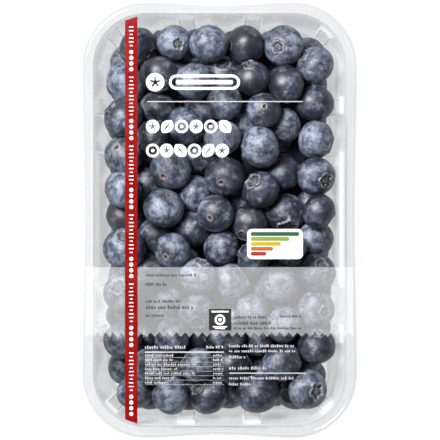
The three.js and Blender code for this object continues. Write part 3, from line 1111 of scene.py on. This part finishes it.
UPPER_SIGNS = ("berry", "leaf_right", "open", "berry", "open", "leaf_left")
LOWER_SIGNS = ("open", "berry", "leaf_left", "open", "leaf_right", "berry")
title_row("title_upper", "print_title_upper", UPPER_SIGNS)
title_row("title_lower", "print_title_lower", LOWER_SIGNS)


white_notes = Print()
TABLE_LEFT = -32.4
TABLE_RIGHT = 2.0
TABLE_TOP = -55.3
HEAD_RIGHT = -13.5  # the head is two words, with a rule under them
HEAD_LEFT = -5.8
VALUES_LEFT = -2.8
FIRST_ROW = 3.6
ROW_PITCH = 1.96
ROW_ENDS = (-19.6, -19.6, -10.0, -18.5, -10.5, -19.0, -23.0)
text_line(white_notes, TABLE_LEFT, HEAD_RIGHT, TABLE_TOP, 1.4, PRINT_LOW, 50)
text_line(white_notes, HEAD_LEFT, TABLE_RIGHT, TABLE_TOP, 1.2, PRINT_LOW, 51)
white_notes.add(rounded_outline(TABLE_LEFT, TABLE_RIGHT, -57.8, -57.2, 0.1), PRINT_LOW)
for row, end in enumerate(ROW_ENDS):
    y = TABLE_TOP - FIRST_ROW - ROW_PITCH * row
    text_line(white_notes, TABLE_LEFT, end, y, 1.05, PRINT_LOW, 52 + row)
    value_end = TABLE_RIGHT - 0.5 * (row % 3)
    text_line(white_notes, VALUES_LEFT, value_end, y, 1.0, PRINT_LOW, 70 + row)
    white_notes.add(rounded_outline(TABLE_LEFT, TABLE_RIGHT, y - 1.04, y - 0.92, 0.04), PRINT_LOW)
NOTES_LEFT = 4.2
NOTE_LINES = [  # right end, y and height of each line
    (33.7, -54.8, 1.2),
    (33.7, -57.0, 1.2),
    (12.0, -59.6, 1.2),
    (21.1, -64.4, 1.4),
    (33.3, -68.8, 1.2),
    (14.1, -71.4, 1.2),
]
for seed, (right, y, height) in enumerate(NOTE_LINES, 90):
    text_line(white_notes, NOTES_LEFT, right, y, height, PRINT_LOW, seed)
white_notes.add(rounded_outline(NOTES_LEFT, 37.7, -66.9, -66.4, 0.1), PRINT_LOW)
white_notes.piece("white_notes", thin_white_ink, "white_ink")


# The card is a label of full white ink, printed on the film over the berries. Five bars of
# differing length are printed on it, each in an ink of its own.

card_low, card_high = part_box("print_card")
CARD_TOP = card_high.z / MM
CARD_LEFT = card_low.x / MM
CARD_RIGHT = card_high.x / MM
CARD_UPPER = card_high.y / MM
CARD_SIDE = 1.6
CARD_HEAD = 1.3
CARD_PITCH = 2.15
CARD_BAR = 1.75
CARD_BARS = {  # each bar's length as a share of the longest, and the colour of its ink
    "leaf_green": (1.0, (0.006, 0.085, 0.018, 1)),
    "lime": (0.8, (0.18, 0.26, 0.025, 1)),
    "yellow": (0.62, (0.43, 0.29, 0.010, 1)),
    "orange": (0.46, (0.34, 0.095, 0.008, 1)),
    "bright_red": (0.32, (0.27, 0.014, 0.006, 1)),
}
dress("print_card", white_ink)
bar_left = CARD_LEFT + CARD_SIDE
longest_bar = CARD_RIGHT - CARD_LEFT - 2 * CARD_SIDE
for n, (name, (share, colour)) in enumerate(CARD_BARS.items()):
    bar = Print()
    top = CARD_UPPER - CARD_HEAD - CARD_PITCH * n
    right = bar_left + longest_bar * share
    bar.add(rounded_outline(bar_left, right, top - CARD_BAR, top, 0.7), CARD_TOP)
    bar.piece(f"card_bar_{name}", ink(f"{name}_ink", colour, 0.4))


# The badge is a small square of black ink, printed on the band. White ink on it makes a ring
# round a dot, a bar above them and two rules below.

badge_low, badge_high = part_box("print_badge")
BADGE_TOP = badge_high.z / MM
BADGE_X = (badge_low.x + badge_high.x) / 2 / MM
BADGE_Y = (badge_low.y + badge_high.y) / 2 / MM
BADGE_INK = (0.012, 0.012, 0.012, 1)
RING_Y = BADGE_Y - 0.1
RING_RADIUS = 2.3
RING_HOLE = 1.5
RING_DOT = 0.75
RING_STEPS = 32
BADGE_BARS = [  # half length, lower and upper side from the badge's middle, and rounding
    (3.7, 3.1, 3.8, 0.2),
    (3.2, -3.4, -2.95, 0.2),
    (2.2, -4.1, -3.7, 0.15),
]
dress("print_badge", ink("black_ink", BADGE_INK, 0.4, 0.2))
badge = Print()
ring = round_outline(BADGE_X, RING_Y, RING_RADIUS, RING_STEPS)
badge.add_ring(ring, round_outline(BADGE_X, RING_Y, RING_HOLE, RING_STEPS), BADGE_TOP)
badge.add(round_outline(BADGE_X, RING_Y, RING_DOT), BADGE_TOP)
for half, foot, head, rounding in BADGE_BARS:
    left, right = BADGE_X - half, BADGE_X + half
    badge.add(rounded_outline(left, right, BADGE_Y + foot, BADGE_Y + head, rounding), BADGE_TOP)
badge.piece("badge_marks", white_ink, "white_ink")


# The pack stands on a plain pale floor in a white studio, lit by large soft boxes from the sides
# so that the film mirrors nothing up into the camera, which looks straight down from 1.5 metres.

FLOOR_SIZE = 6.0
CAMERA_HEIGHT = 1.5
PICTURE_WIDTH = 191.5 * MM  # what the photograph's width takes in at the film
SENSOR = 36
PICTURE_X = 0.22 * MM


def studio_floor():
    """Plain white, lit so evenly that it keeps almost no shadow."""
    material, tree = blank_material("studio_floor")
    surface = add_node(
        tree,
        "ShaderNodeBsdfPrincipled",
        {
            "Base Color": (0.025, 0.025, 0.025, 1),
            "Roughness": 0.8,
            "Emission Color": (1, 1, 1, 1),
            "Emission Strength": 0.98,
        },
    ).outputs[0]
    finish_material(tree, surface)
    return material


def soft_box(name, place, size, power):
    """A square lamp that faces the pack."""
    lamp = bpy.data.lights.new(name, "AREA")
    lamp.shape = "SQUARE"
    lamp.size = size
    lamp.energy = power
    box = bpy.data.objects.new(name, lamp)
    box.location = place
    box.rotation_euler = (-Vector(place)).to_track_quat("-Z", "Y").to_euler()
    bpy.context.scene.collection.objects.link(box)


half = FLOOR_SIZE / 2
floor_mesh = bpy.data.meshes.new("floor")
floor_mesh.from_pydata(
    [(-half, -half, 0), (half, -half, 0), (half, half, 0), (-half, half, 0)], [], [(0, 1, 2, 3)]
)
floor_mesh.materials.append(studio_floor())
floor = bpy.data.objects.new("floor", floor_mesh)
bpy.context.scene.collection.objects.link(floor)

soft_box("key_box", (-0.53, 0.55, 1.07), 0.55, 41)
soft_box("right_box", (0.75, 0.15, 1.0), 0.4, 0.8)
soft_box("front_box", (-0.1, -0.95, 0.9), 0.5, 0.8)

world = bpy.data.worlds.new("studio")
world.use_nodes = True
world.node_tree.nodes.clear()
sky_place = add_node(world.node_tree, "ShaderNodeTexCoord").outputs["Generated"]
sky_height = add_node(world.node_tree, "ShaderNodeSeparateXYZ", {"Vector": sky_place}).outputs["Z"]
sky_glow = map_range(world.node_tree, sky_height, 0.20, 0.6, 0.20, 0.008)
sky = add_node(world.node_tree, "ShaderNodeBackground", {"Color": (1, 1, 1, 1), "Strength": sky_glow})
add_node(world.node_tree, "ShaderNodeOutputWorld", {"Surface": sky.outputs[0]})
bpy.context.scene.world = world
bpy.context.scene.view_settings.view_transform = "Standard"
bpy.context.scene.cycles.transparent_max_bounces = 24

camera_data = bpy.data.cameras.new("camera")
camera_data.sensor_width = SENSOR
camera_data.lens = SENSOR * CAMERA_HEIGHT / PICTURE_WIDTH
camera = bpy.data.objects.new("camera", camera_data)
camera.location = (PICTURE_X, 0, FILM_TOP * MM + CAMERA_HEIGHT)
bpy.context.scene.collection.objects.link(camera)
bpy.context.scene.camera = camera
